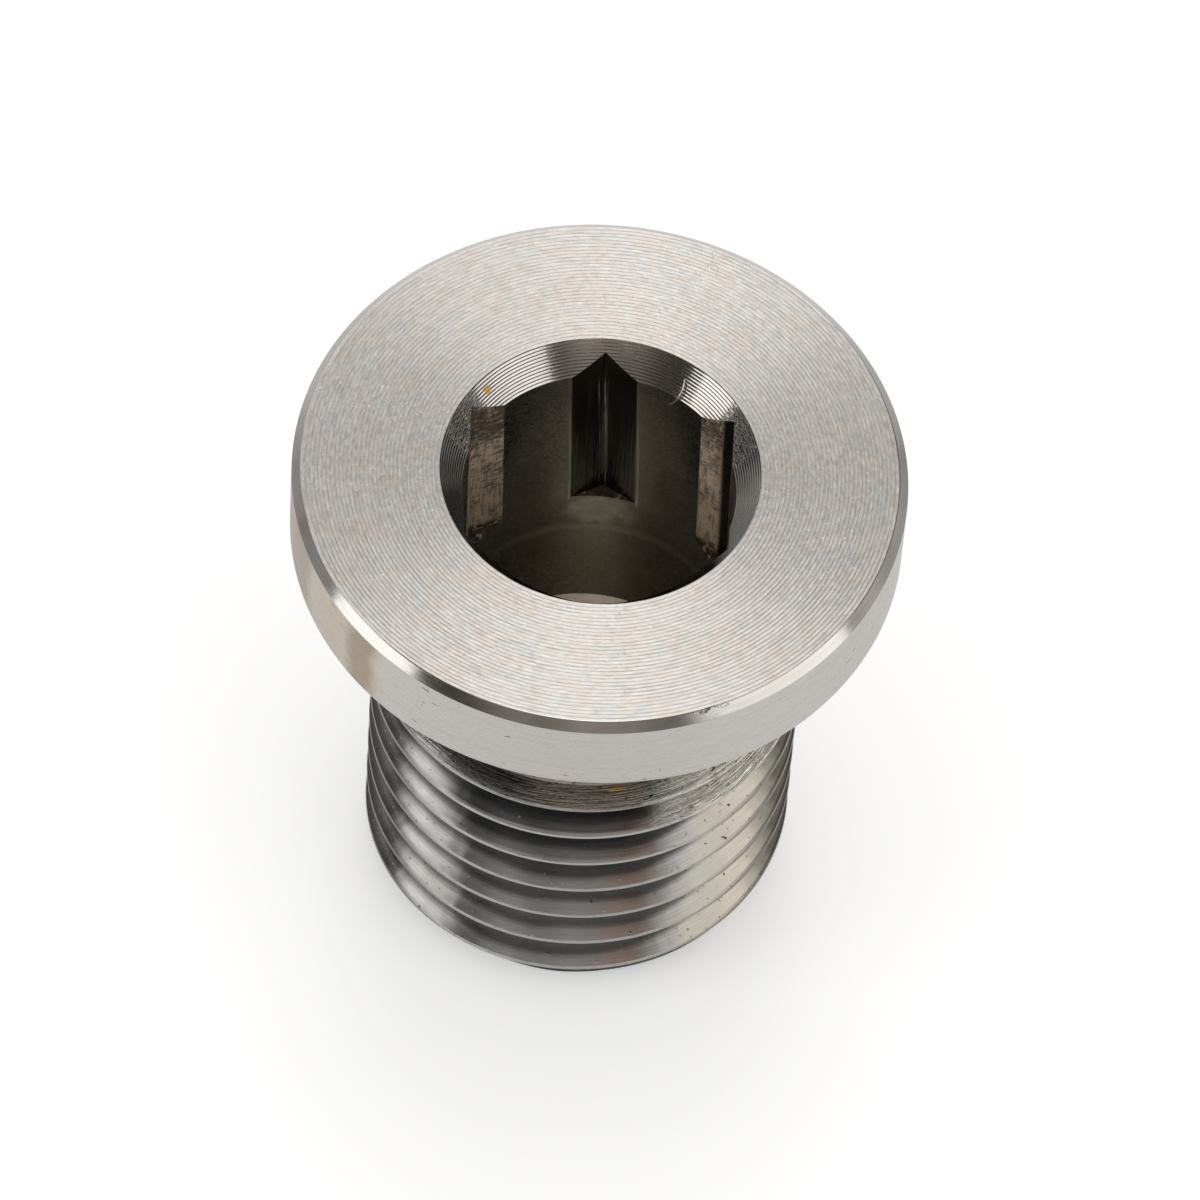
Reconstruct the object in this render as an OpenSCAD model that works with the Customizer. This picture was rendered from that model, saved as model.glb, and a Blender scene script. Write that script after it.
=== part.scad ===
// Oil relief valve plug, turned from one stainless bar.
// It stands on its threaded end with the round head up. The origin is the centre of the end face,
// +Z runs along the axis to the top of the head, and one corner of the hexagon socket points to +Y.

/* [Head] */
// Diameter of the round head, 7/8 in
head_d = 22.225; // [20:0.005:28]
// Thickness of the head, from its seat to its top face
head_t = 3.56; // [2.5:0.02:6]
// Width of the 45 degree chamfer round the head's top edge
head_chamfer = 0.31; // [0.1:0.01:1]

/* [Threaded shank] */
// Major diameter of the right-hand thread, 5/8 in
thread_d = 15.875; // [14.6:0.005:18]
// Number of threads in an inch of length
threads_per_inch = 14; // [11:1:20]
// Length of the shank, from the seat to the end face
shank_l = 19.34; // [17:0.02:30]
// Width of the thread relief under the head
relief_w = 2.5; // [1.5:0.1:5]
// Length of the chamfer on the shank's end
end_chamfer = 0.96; // [0.3:0.01:2]
// Angle between the end chamfer and the axis
end_chamfer_angle = 45; // [20:1:60]

/* [Hexagon socket] */
// Width of the hexagon across its flats, 3/8 in
hex_af = 9.525; // [8:0.005:10]
// Depth of the broached corners below the head's top face
hex_depth = 8.9; // [5:0.1:12]
// Diameter of the drilled bore that the hexagon is broached in, 25/64 in
bore_d = 9.92; // [8.3:0.02:10.4]
// Depth of the bore's straight wall below the head's top face
bore_depth = 15.4; // [13:0.1:17]
// Angle across the drill point at the bore's floor
drill_angle = 118; // [90:1:140]
// Diameter of the countersunk mouth in the head's top face
mouth_d = 11.59; // [11.2:0.01:14]
// Depth of the countersink along the axis
mouth_depth = 1.19; // [0.5:0.01:2]

/* [Hidden] */
INCH = 25.4;
STEEL = [0.70, 0.68, 0.65];
SOCKET_STEEL = [0.42, 0.40, 0.37];
// Depth of a 55 degree thread with rounded crests, as a share of its pitch
THREAD_DEPTH_RATIO = 0.6403;
// The relief is turned a little deeper than the thread's root
RELIEF_CLEARANCE = 0.1;
// What a cut runs past the face that it opens
PAST = 1;
ROUND = 180;

pitch = INCH / threads_per_inch;
thread_depth = THREAD_DEPTH_RATIO * pitch;
head_r = head_d / 2;
thread_r = thread_d / 2;
relief_r = thread_r - thread_depth - RELIEF_CLEARANCE;
// The relief climbs back to the thread's full diameter at 45 degrees
relief_rise = thread_r - relief_r;
end_r = thread_r - end_chamfer * tan(end_chamfer_angle);
bore_r = bore_d / 2;
mouth_r = mouth_d / 2;
hex_corner_r = hex_af / 2 / cos(30);
drill_tip_h = bore_r / tan(drill_angle / 2);
total_h = shank_l + head_t;

// Half section of the turned body: end face, chamfer, thread's outside, relief, seat and head
function body_section() = [
    [0, 0],
    [end_r, 0],
    [thread_r, end_chamfer],
    [thread_r, shank_l - relief_w - relief_rise],
    [relief_r, shank_l - relief_w],
    [relief_r, shank_l],
    [head_r, shank_l],
    [head_r, total_h - head_chamfer],
    [head_r - head_chamfer, total_h],
    [0, total_h],
];

// Half section of the drilled bore, from the drill point up through the countersunk mouth
function bore_section() = [
    [0, total_h - bore_depth - drill_tip_h],
    [bore_r, total_h - bore_depth],
    [bore_r, total_h - mouth_depth],
    [mouth_r, total_h],
    [mouth_r, total_h + PAST],
    [0, total_h + PAST],
];

module turned_body() {
    color(STEEL) rotate_extrude($fn = ROUND) polygon(body_section());
}

module drilled_bore() {
    color(SOCKET_STEEL) rotate_extrude($fn = ROUND) polygon(bore_section());
}

// The broach leaves only the six corners, because the bore is wider than the hexagon's flats
module broached_hexagon() {
    color(SOCKET_STEEL) translate([0, 0, total_h - hex_depth]) rotate([0, 0, 90])
        cylinder(h = hex_depth + PAST, r = hex_corner_r, $fn = 6);
}

module plug() {
    difference() {
        turned_body();
        drilled_bore();
        broached_hexagon();
    }
}

plug();
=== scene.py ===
"""Dresses an oil relief valve plug: a stainless screw plug, turned from one bar.

The plug stands on its threaded end. Its mesh is one closed skin, turned on the axis like the real one:
a faced head, a thread cut as a helix between a relief and an end chamfer, and a countersunk blind bore
whose six corners were broached for a hexagon key. Sizes are millimetres until the skin is finished.
"""

import logging
import math
from dataclasses import dataclass, field
from enum import Enum
from functools import partial, reduce
from typing import Iterable, Sequence

import bmesh
import bpy
from mathutils import Matrix, Vector


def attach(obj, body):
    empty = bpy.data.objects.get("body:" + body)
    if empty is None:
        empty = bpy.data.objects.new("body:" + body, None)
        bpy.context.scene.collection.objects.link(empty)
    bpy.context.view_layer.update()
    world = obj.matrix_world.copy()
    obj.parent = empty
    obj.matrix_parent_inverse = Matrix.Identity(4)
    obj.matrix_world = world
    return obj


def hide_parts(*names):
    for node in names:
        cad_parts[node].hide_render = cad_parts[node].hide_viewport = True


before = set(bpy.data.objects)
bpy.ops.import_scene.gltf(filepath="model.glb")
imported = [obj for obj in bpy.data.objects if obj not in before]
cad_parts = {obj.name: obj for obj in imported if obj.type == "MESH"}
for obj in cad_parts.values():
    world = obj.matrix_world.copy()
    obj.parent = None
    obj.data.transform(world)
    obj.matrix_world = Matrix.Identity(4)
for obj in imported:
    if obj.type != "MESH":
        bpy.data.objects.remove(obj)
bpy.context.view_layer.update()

LOG = logging.getLogger("plug")
MM = 0.001
INCH = 25.4
COLUMNS = 288
CREASE_ANGLE = math.radians(24)
FINE_CREASE_ANGLE = math.radians(9)
MERGE_MM = 0.002
SKIN_MERGE_MM = 0.0001
TINY_MM = 0.00001
SECTOR = math.tau / 6

Point = tuple[float, float]
Place = tuple[float, float, float]
Colour = tuple[float, float, float]
Socket = bpy.types.NodeSocket
Value = Socket | float | tuple[float, ...]


class Zone(Enum):
    """Zones of the plug's skin, each with its own finish. The value is the material's slot number."""

    FACE = 0
    CHAMFER = 1
    RIM = 2
    RELIEF = 3
    THREAD = 4
    MOUTH = 5
    BORE = 6
    BROACHED = 7
    CHIPS = 8
    DRILL_POINT = 9
    END = 10
    BURR = 11


@dataclass(frozen=True)
class PlugSizes:
    """Sizes of the plug in millimetres, as the CAD source gives them, with z = 0 at the end face."""

    head_r: float = 22.225 / 2
    head_t: float = 3.56
    head_chamfer: float = 0.31
    thread_r: float = 15.875 / 2
    pitch: float = INCH / 14
    shank_l: float = 19.34
    relief_w: float = 2.5
    relief_clearance: float = 0.1
    flank_angle: float = math.radians(27.5)
    end_chamfer: float = 0.96
    hex_af: float = 9.525
    hex_depth: float = 8.9
    bore_r: float = 9.92 / 2
    bore_depth: float = 15.4
    drill_half_angle: float = math.radians(59)
    mouth_r: float = 11.59 / 2
    mouth_depth: float = 1.19

    @property
    def total_h(self) -> float:
        """Height from the end face to the head's top face."""
        return self.shank_l + self.head_t

    @property
    def root_r(self) -> float:
        """Radius of the thread's root."""
        return self.thread_r - 0.6403 * self.pitch

    @property
    def relief_r(self) -> float:
        """Radius of the thread relief."""
        return self.root_r - self.relief_clearance

    @property
    def hex_corner_r(self) -> float:
        """Radius of the hexagon's sharp corners."""
        return self.hex_af / 2 / math.cos(SECTOR / 2)


SIZES = PlugSizes()


def turned(section: Sequence[Point]) -> bmesh.types.BMesh:
    """Spins an open section once round the axis.

    Args:
        section: Points as radius and height.

    Returns:
        The turned surface.
    """
    strip = bmesh.new()
    verts = [strip.verts.new((r, 0, z)) for r, z in section]
    edges = [strip.edges.new(pair) for pair in zip(verts, verts[1:])]
    bmesh.ops.spin(
        strip, geom=verts + edges, cent=(0, 0, 0), axis=(0, 0, 1), angle=math.tau, steps=COLUMNS,
        use_merge=True,
    )
    return strip


def paint_zones(strip: bmesh.types.BMesh, section: Sequence[Point], zones: Sequence[Zone]) -> None:
    """Gives each face of a turned surface the zone of its chord of the section.

    Args:
        strip: The turned surface.
        section: Its section, as radius and height.
        zones: The zone of each chord, one fewer than the points.
    """
    chords = list(zip(section, section[1:], zones))
    rows: dict[Point, Zone] = {}
    for face in strip.faces:
        centre = face.calc_center_median()
        row = (round(math.hypot(centre.x, centre.y), 3), round(centre.z, 3))
        if row not in rows:
            rows[row] = nearest_zone(chords, *row)
        face.material_index = rows[row].value


def nearest_zone(chords: Iterable[tuple[Point, Point, Zone]], radius: float, height: float) -> Zone:
    """Finds the chord of a section that lies nearest to a point of its plane.

    Args:
        chords: The chords, each as its two points and its zone.
        radius: The point's radius.
        height: The point's height.

    Returns:
        The zone of the nearest chord.
    """
    best, found = math.inf, Zone.FACE
    for (r0, z0), (r1, z1), zone in chords:
        dr, dz = r1 - r0, z1 - z0
        length = dr * dr + dz * dz
        along = 0 if length == 0 else max(0, min(1, ((radius - r0) * dr + (height - z0) * dz) / length))
        gap = math.hypot(radius - r0 - along * dr, height - z0 - along * dz)
        if gap < best:
            best, found = gap, zone
    return found


def scallops(start: Point, end: Point, count: int, chords: int, depth: float) -> list[Point]:
    """Points of a line of a section with one shallow hollow for each turn of the tool.

    Args:
        start: The line's first point, as radius and height, which isn't among the points given back.
        end: The line's last point.
        count: How many hollows the line has.
        chords: How many chords each hollow has.
        depth: Depth of a hollow, to the right of the way from start to end.

    Returns:
        The points after the first.
    """
    run, rise = end[0] - start[0], end[1] - start[1]
    length = math.hypot(run, rise)
    points = []
    for i in range(1, count * chords + 1):
        t = i / (count * chords)
        hollow = i % chords / chords
        dip = depth * (1 - (2 * hollow - 1) ** 2)
        points.append((start[0] + run * t + dip * rise / length, start[1] + rise * t - dip * run / length))
    return points


def add_mesh(bm: bmesh.types.BMesh, part: bmesh.types.BMesh) -> None:
    """Copies one mesh into another and frees it.

    Args:
        bm: The mesh that gets the copy.
        part: The mesh that is copied.
    """
    mesh = bpy.data.meshes.new("part")
    part.to_mesh(mesh)
    part.free()
    bm.from_mesh(mesh)
    bpy.data.meshes.remove(mesh)


def facing(way: Vector) -> Matrix:
    """Turns a thing so that its Z axis points along a way."""
    return way.to_track_quat("Z", "Y").to_matrix().to_4x4()


@dataclass
class Head:
    """The round head: a faced top, a chamfered edge, a turned rim and the seat below."""

    sizes: PlugSizes = field(default=SIZES)
    grooves: int = 33
    groove_chords: int = 3
    groove_depth: float = 0.006
    edge_r: float = 0.045
    rounding: tuple[Point, ...] = ((-0.7, 0), (0, 0.29), (0.5, 0.79), (1, 1.29))

    def build(self, bm: bmesh.types.BMesh) -> None:
        """Turns the head's outside, from the mouth over the rim to the relief.

        Args:
            bm: The skin that gets the head.
        """
        s, e = self.sizes, self.edge_r
        top, edge_start = s.total_h, s.head_r - s.head_chamfer
        mouth = (s.mouth_r, top)
        face = [mouth]
        face += scallops(mouth, (edge_start - e, top), self.grooves, self.groove_chords, self.groove_depth)
        edge = [(edge_start + e * out, top - e * down) for out, down in self.rounding]
        chamfer = edge + [(s.head_r, top - s.head_chamfer)]
        rim = [(s.head_r, s.shank_l + e), (s.head_r - e, s.shank_l)]
        seat = [(s.relief_r, s.shank_l), (s.relief_r, s.shank_l - s.relief_w / 2)]
        section = face + chamfer + rim + seat
        zones = [Zone.FACE] * len(face) + [Zone.CHAMFER] * len(edge) + [Zone.RIM] * 2 + [Zone.RELIEF] * 2
        head = turned(section)
        paint_zones(head, section, zones)
        add_mesh(bm, head)


@dataclass
class ThreadedShank:
    """The right-hand thread, cut as a helix between the relief and the end chamfer.

    Attributes:
        sizes: The plug's sizes.
        steps: Steps of one turn.
        crest_flat: Width of the crest's flat as a share of the pitch.
        crest_z: Height of one crest in millimetres.
        crest_angle: Angle about the axis at which that crest has this height.
        joint: Height of the band that joins the thread to the head, in millimetres.
    """

    sizes: PlugSizes = field(default=SIZES)
    steps: int = 216
    crest_flat: float = 0.10
    crest_z: float = 12.565
    crest_angle: float = math.radians(-82.76)
    joint: float = 0.03

    def profile(self) -> list[Point]:
        """Draws one pitch of the thread, from crest to crest.

        Returns:
            Points as radius and height above the first crest.
        """
        s = self.sizes
        slope = math.tan(s.flank_angle)
        flat, p = self.crest_flat * s.pitch / 2, s.pitch
        depth = s.thread_r - s.root_r
        root_half = p / 2 - flat - depth * slope
        lower = [
            (s.thread_r, 0.0),
            (s.thread_r, flat * 0.7),
            (s.thread_r - 0.02, flat + 0.01),
            (s.thread_r - depth * 0.3, flat + depth * 0.3 * slope),
            (s.thread_r - depth * 0.6, flat + depth * 0.6 * slope),
            (s.root_r + depth * 0.15, p / 2 - root_half - depth * 0.15 * slope),
            (s.root_r + depth * 0.04, p / 2 - root_half * 0.75),
        ]
        upper = [(r, p - z) for r, z in reversed(lower)]
        return lower + [(s.root_r, p / 2)] + upper

    def outside(self, z: float) -> float:
        """Finds the largest radius that the end chamfer and the relief leave at a height.

        Args:
            z: The height in millimetres.

        Returns:
            The radius in millimetres.
        """
        s = self.sizes
        chamfer = s.thread_r - s.end_chamfer + z
        top = s.shank_l - s.relief_w
        relief = s.relief_r + max(0.0, top - z)
        return max(s.relief_r, min(s.thread_r, chamfer, relief))

    def build(self, bm: bmesh.types.BMesh) -> None:
        """Winds the thread, trims it to the relief and the end chamfer, and closes it with the end face.

        Args:
            bm: The skin that gets the thread.
        """
        s = self.sizes
        start = self.crest_z - self.crest_angle / math.tau * s.pitch
        start -= math.ceil(start / s.pitch + 1) * s.pitch
        neck = s.shank_l - s.relief_w / 2 - self.joint
        thread = self.wound(start, math.ceil((neck - start) / s.pitch))
        for vert in thread.verts:
            radius = math.hypot(vert.co.x, vert.co.y)
            scale = min(radius, self.outside(vert.co.z)) / radius
            vert.co.x *= scale
            vert.co.y *= scale
        for height, upward in ((0.0, -1), (neck, 1)):
            bmesh.ops.bisect_plane(
                thread, geom=thread.verts[:] + thread.edges[:] + thread.faces[:],
                plane_co=(0, 0, height), plane_no=(0, 0, upward), clear_outer=True, dist=TINY_MM,
            )
        for face in thread.faces:
            face.material_index = Zone.THREAD.value
        rim = [e for e in thread.edges if e.is_boundary and all(abs(v.co.z) < SKIN_MERGE_MM for v in e.verts)]
        for face in bmesh.ops.edgeloop_fill(thread, edges=rim)["faces"]:
            face.material_index = Zone.END.value
        add_mesh(bm, thread)

    def wound(self, start: float, turns: int) -> bmesh.types.BMesh:
        """Winds the profile round the axis.

        Args:
            start: Height of the first crest in millimetres.
            turns: How many turns the thread has.

        Returns:
            The thread, longer than the shank at both ends.
        """
        thread = bmesh.new()
        pitch = self.sizes.pitch
        verts = [thread.verts.new((r, 0, start + z)) for r, z in self.profile()]
        edges = [thread.edges.new(pair) for pair in zip(verts, verts[1:])]
        bmesh.ops.spin(
            thread, geom=verts + edges, cent=(0, 0, 0), axis=(0, 0, 1), angle=math.tau, steps=self.steps,
            dvec=(0, 0, pitch / self.steps),
        )
        one_turn = thread.verts[:] + thread.edges[:] + thread.faces[:]
        for turn in range(1, turns):
            copy = bmesh.ops.duplicate(thread, geom=one_turn)["geom"]
            moved = [item for item in copy if isinstance(item, bmesh.types.BMVert)]
            bmesh.ops.translate(thread, verts=moved, vec=(0, 0, turn * pitch))
        bmesh.ops.remove_doubles(thread, verts=thread.verts, dist=MERGE_MM)
        return thread


@dataclass
class CurledBurr:
    """A thin curl of metal that the broach left hanging from the mouth's inner edge.

    Attributes:
        root: Where the curl leaves the metal, in millimetres.
        centre: Centre of the curl in millimetres.
        axis: Direction that the curl turns about.
        angle: How far it turns.
        wire_r: Half its thickness in millimetres.
        steps: Steps along it.
        sides: Sides of its section.
    """

    root: Place = (2.92, 4.56, 22.36)
    centre: Place = (2.57, 4.715, 21.765)
    axis: Place = (0.872, 0.077, -0.484)
    angle: float = math.radians(115)
    wire_r: float = 0.024
    steps: int = 14
    sides: int = 8

    def build(self, bm: bmesh.types.BMesh) -> None:
        """Sweeps a small circle along the curl and closes both its ends.

        Args:
            bm: The skin that gets the curl.
        """
        burr = bmesh.new()
        root, centre, axis = Vector(self.root), Vector(self.centre), Vector(self.axis).normalized()
        along = axis.cross(root - centre).normalized()
        place = Matrix.Translation(root) @ facing(along)
        ring = bmesh.ops.create_circle(burr, segments=self.sides, radius=self.wire_r, matrix=place)
        bmesh.ops.spin(
            burr, geom=ring["verts"] + burr.edges[:], cent=centre, axis=axis, angle=self.angle,
            steps=self.steps,
        )
        ends = [edge for edge in burr.edges if edge.is_boundary]
        bmesh.ops.holes_fill(burr, edges=ends, sides=0)
        for face in burr.faces:
            face.material_index = Zone.BURR.value
        add_mesh(bm, burr)


@dataclass
class KeySocket:
    """The countersunk blind bore and its six broached corners.

    Attributes:
        sizes: The plug's sizes.
        twist: How far the broach turned on its way down.
        mouth_grooves: Turns of the tool on the mouth.
        groove_chords: Chords of one such groove.
        groove_depth: Depth of a groove in millimetres.
        wall_rows: Rows of faces from the mouth to the ends of the corners.
        end_rows: Rows of faces just below these ends.
        end_row: Height of such a row in millimetres.
        ring_depth: Depth of a faint ring that the drill left, in millimetres.
        ring_rise: How far the ring is cut into the wall, in millimetres.
        lower_depths: Depths of the rows below the corners, in millimetres.
        point_shares: Where the rows of the drill point lie, from 0 at its outside to 1 at its tip.
        corner_r: How far the hexagon's corners are broken, in millimetres.
    """

    sizes: PlugSizes = field(default=SIZES)
    twist: float = math.radians(-3.3)
    mouth_grooves: int = 11
    groove_chords: int = 3
    groove_depth: float = 0.009
    wall_rows: int = 14
    end_rows: int = 3
    end_row: float = 0.012
    ring_depth: float = 10.8
    ring_rise: float = 0.012
    lower_depths: tuple[float, ...] = (10.0, 10.7, 10.8, 10.9, 12.5, 14.0, SIZES.bore_depth)
    point_shares: tuple[float, ...] = (0.35, 0.7, 0.99)
    corner_r: float = 0.025

    def reach(self, angle: float) -> float:
        """Finds the radius of the hexagon's outline, with a corner at +Y that is broken a little.

        Args:
            angle: Angle about the axis.

        Returns:
            The radius in millimetres.
        """
        s = self.sizes
        off = abs((angle - math.pi / 2 + SECTOR / 2) % SECTOR - SECTOR / 2)
        corner = s.hex_corner_r - self.corner_r
        return min(s.hex_af / 2 / math.cos(SECTOR / 2 - off), corner / math.cos(off))

    def section(self) -> tuple[list[Point], list[Zone]]:
        """Draws the bore from the mouth down to the drill point.

        Returns:
            Points as radius and height, and the zone of each chord.
        """
        s = self.sizes
        top = s.total_h
        mouth, below = (s.mouth_r, top), (s.bore_r, top - s.mouth_depth)
        points = [mouth]
        points += scallops(mouth, below, self.mouth_grooves, self.groove_chords, -self.groove_depth)
        zones = [Zone.MOUTH] * (len(points) - 1)
        wall = s.hex_depth - s.mouth_depth
        depths = [s.mouth_depth + wall * i / self.wall_rows for i in range(1, self.wall_rows + 1)]
        depths += [s.hex_depth + self.end_row * i for i in range(1, self.end_rows + 1)]
        for depth in (*depths, *self.lower_depths):
            points.append((s.bore_r + (self.ring_rise if depth == self.ring_depth else 0), top - depth))
            zones.append(Zone.BORE)
        for share in self.point_shares:
            down = s.bore_r / math.tan(s.drill_half_angle) * share
            points.append((s.bore_r * (1 - share), top - s.bore_depth - down))
            zones.append(Zone.DRILL_POINT)
        return points, zones

    def build(self, bm: bmesh.types.BMesh) -> None:
        """Turns the bore, broaches its corners and closes the drill point.

        Args:
            bm: The skin that gets the bore.
        """
        s = self.sizes
        points, zones = self.section()
        bore = turned(points)
        paint_zones(bore, points, zones)
        self.broach(bore)
        tip_r = s.bore_r * (1 - self.point_shares[-2])
        tip = [e for e in bore.edges if e.is_boundary and all(v.co.xy.length < tip_r for v in e.verts)]
        bmesh.ops.edgeloop_fill(bore, edges=tip)
        for face in bore.faces:
            if all(v.co.z < s.total_h - s.bore_depth - 1 for v in face.verts):
                face.material_index = Zone.DRILL_POINT.value
        add_mesh(bm, bore)

    def is_stock(self, face: bmesh.types.BMFace, normal: Vector) -> bool:
        """Tells whether the broach can meet a face on one side.

        Args:
            face: The face.
            normal: The side's direction.

        Returns:
            True if it can.
        """
        s = self.sizes
        centre = face.calc_center_median()
        reached = min(math.hypot(vert.co.x, vert.co.y) for vert in face.verts) < s.hex_corner_r
        return reached and centre.z > s.total_h - s.hex_depth and centre.dot(normal) > 0

    def broach(self, bore: bmesh.types.BMesh) -> None:
        """Cuts the bore's skin along the hexagon's planes and pushes its corners out to them.

        Args:
            bore: The turned bore.
        """
        s = self.sizes
        cuts = [(k * SECTOR, s.hex_af / 2) for k in range(6)]
        cuts += [((k + 6) * SECTOR + SECTOR / 2, s.hex_corner_r - self.corner_r) for k in range(6)]
        for turn, away in cuts:
            normal = Vector((math.cos(turn), math.sin(turn), 0))
            near = [face for face in bore.faces if self.is_stock(face, normal)]
            edges = list(dict.fromkeys(edge for face in near for edge in face.edges))
            verts = list(dict.fromkeys(vert for face in near for vert in face.verts))
            bmesh.ops.bisect_plane(
                bore, geom=near + edges + verts, plane_co=normal * away, plane_no=normal, dist=TINY_MM
            )
        broached = self.push_out(bore)
        shoulder = s.total_h - s.hex_depth
        for face in bore.faces:
            cut = sum(vert in broached for vert in face.verts)
            if cut == len(face.verts):
                face.material_index = Zone.BROACHED.value
            elif cut and face.calc_center_median().z < shoulder:
                face.material_index = Zone.CHIPS.value

    def push_out(self, bore: bmesh.types.BMesh) -> set[bmesh.types.BMVert]:
        """Pushes the wall out to the hexagon where that reaches further, and twists it a little.

        Args:
            bore: The bore, cut along the hexagon's planes.

        Returns:
            The points that lie on the hexagon.
        """
        s = self.sizes
        shoulder = s.total_h - s.hex_depth
        broached = set()
        for vert in bore.verts:
            x, y, z = vert.co
            radius, angle = math.hypot(x, y), math.atan2(y, x)
            if shoulder - SKIN_MERGE_MM < z < s.total_h - TINY_MM:
                reach = self.reach(angle)
                if reach > radius - SKIN_MERGE_MM:
                    radius = reach
                    broached.add(vert)
            angle += self.twist * min(1, (s.total_h - z) / s.hex_depth)
            vert.co = (radius * math.cos(angle), radius * math.sin(angle), z)
        return broached


class Recipe:
    """A material's node tree, written as a chain of short calls on sockets and numbers."""

    def __init__(self, name: str) -> None:
        """Starts a material with the surface's place in millimetres.

        Args:
            name: The material's name.
        """
        self.material = bpy.data.materials.new(name)
        self.material.use_nodes = True
        self.tree = self.material.node_tree
        self.shader = self.tree.nodes["Principled BSDF"]
        place = self.node("ShaderNodeTexCoord").outputs["Object"]
        self.place = self.vector("SCALE", place, scale=1 / MM)
        parts = self.node("ShaderNodeSeparateXYZ")
        self.link(self.place, parts.inputs[0])
        self.x, self.y, self.z = parts.outputs
        self.flat = self.joined(self.x, self.y, 0.0)
        self.r = self.math("SQRT", self.plus(self.times(self.x, self.x), self.times(self.y, self.y)))

    def node(self, kind: str, **values) -> bpy.types.Node:
        """Adds a node and sets its properties.

        Args:
            kind: The node's type.
            **values: Its properties.

        Returns:
            The node.
        """
        made = self.tree.nodes.new(kind)
        for key, value in values.items():
            setattr(made, key, value)
        return made

    def link(self, source: Value, target: Socket) -> None:
        """Joins an output or a plain value to an input."""
        if isinstance(source, Socket):
            self.tree.links.new(source, target)
        else:
            target.default_value = source

    def math(self, operation: str, a: Value, b: Value = 0.0) -> Socket:
        """Does one step of arithmetic.

        Args:
            operation: The node's operation.
            a: The first value.
            b: The second value.

        Returns:
            The result.
        """
        made = self.node("ShaderNodeMath", operation=operation)
        self.link(a, made.inputs[0])
        self.link(b, made.inputs[1])
        return made.outputs[0]

    def times(self, first: Value, *others: Value) -> Socket:
        """The product of all the values."""
        return reduce(partial(self.math, "MULTIPLY"), others, first)

    def plus(self, first: Value, *others: Value) -> Socket:
        """The sum of all the values."""
        return reduce(partial(self.math, "ADD"), others, first)

    def most(self, first: Value, *others: Value) -> Socket:
        """The largest of the values."""
        return reduce(partial(self.math, "MAXIMUM"), others, first)

    def minus(self, a: Value, b: Value) -> Socket:
        """What is left of a without b."""
        return self.math("SUBTRACT", a, b)

    def without(self, mask: Value) -> Socket:
        """1 where a mask is 0, and 0 where it is 1."""
        return self.minus(1.0, mask)

    def over(self, a: Value, b: Value) -> Socket:
        """One value divided by another."""
        return self.math("DIVIDE", a, b)

    def apart(self, value: Value) -> Socket:
        """A value without its sign."""
        return self.math("ABSOLUTE", value)

    def vector(self, operation: str, a: Value, b: Value = (0, 0, 0), scale: float = 1.0) -> Socket:
        """Does one step of vector arithmetic.

        Args:
            operation: The node's operation.
            a: The first vector.
            b: The second vector.
            scale: The factor of a scaling.

        Returns:
            The vector that comes out.
        """
        made = self.node("ShaderNodeVectorMath", operation=operation)
        self.link(a, made.inputs[0])
        self.link(b, made.inputs[1])
        made.inputs[3].default_value = scale
        return made.outputs[0]

    def along(self, a: Value, b: Value) -> Socket:
        """How far one vector goes along another."""
        made = self.node("ShaderNodeVectorMath", operation="DOT_PRODUCT")
        self.link(a, made.inputs[0])
        self.link(b, made.inputs[1])
        return made.outputs["Value"]

    def joined(self, x: Value, y: Value, z: Value) -> Socket:
        """A vector of three values."""
        made = self.node("ShaderNodeCombineXYZ")
        for part, target in zip((x, y, z), made.inputs):
            self.link(part, target)
        return made.outputs[0]

    def ring_place(self, across: Socket, around: float, feature: float) -> Socket:
        """Makes a place that changes fast across the tool's marks and slowly along them.

        Args:
            across: What changes across the marks, such as the radius or the height.
            around: How many features lie on one radian of the turn.
            feature: Width of one feature across the marks in millimetres.

        Returns:
            A vector for a noise, with no seam round the axis.
        """
        c = self.times(self.over(self.x, self.r), around)
        d = self.times(self.over(self.y, self.r), around)
        return self.joined(c, d, self.over(across, feature))

    def noise(self, place: Socket, scale: float = 1.0, detail: float = 2.0, rough: float = 0.5) -> Socket:
        """Makes soft noise from 0 to 1.

        Args:
            place: Where it is read.
            scale: How many features lie on one unit of the place.
            detail: How many finer layers it has.
            rough: How strong these are.

        Returns:
            The noise.
        """
        made = self.node("ShaderNodeTexNoise")
        self.link(place, made.inputs["Vector"])
        for key, value in (("Scale", scale), ("Detail", detail), ("Roughness", rough)):
            made.inputs[key].default_value = value
        return made.outputs["Fac"]

    def grain(self, stretch: Place, detail: float = 2.0, rough: float = 0.5) -> Socket:
        """Soft noise with its own number of features on a millimetre of each axis."""
        return self.noise(self.vector("MULTIPLY", self.place, stretch), detail=detail, rough=rough)

    def rings(
        self, across: Socket, around: float, feature: float, detail: float = 2.0, rough: float = 0.5
    ) -> Socket:
        """Soft noise that follows the tool's marks, with the terms of ring_place and noise."""
        return self.noise(self.ring_place(across, around, feature), detail=detail, rough=rough)

    def ramp(self, value: Value, low: float, high: float, start: float = 0.0, end: float = 1.0) -> Socket:
        """Maps a value softly from one range to another, and holds it there.

        Args:
            value: The value.
            low: Where the range begins.
            high: Where it ends.
            start: What comes out at its beginning.
            end: What comes out at its end.

        Returns:
            The mapped value.
        """
        made = self.node("ShaderNodeMapRange", interpolation_type="SMOOTHSTEP")
        for part, target in zip((value, low, high, start, end), made.inputs):
            self.link(part, target)
        return made.outputs[0]

    def fall(self, value: Value, low: float, high: float) -> Socket:
        """1 below a range and 0 above it."""
        return self.ramp(value, low, high, 1.0, 0.0)

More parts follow.
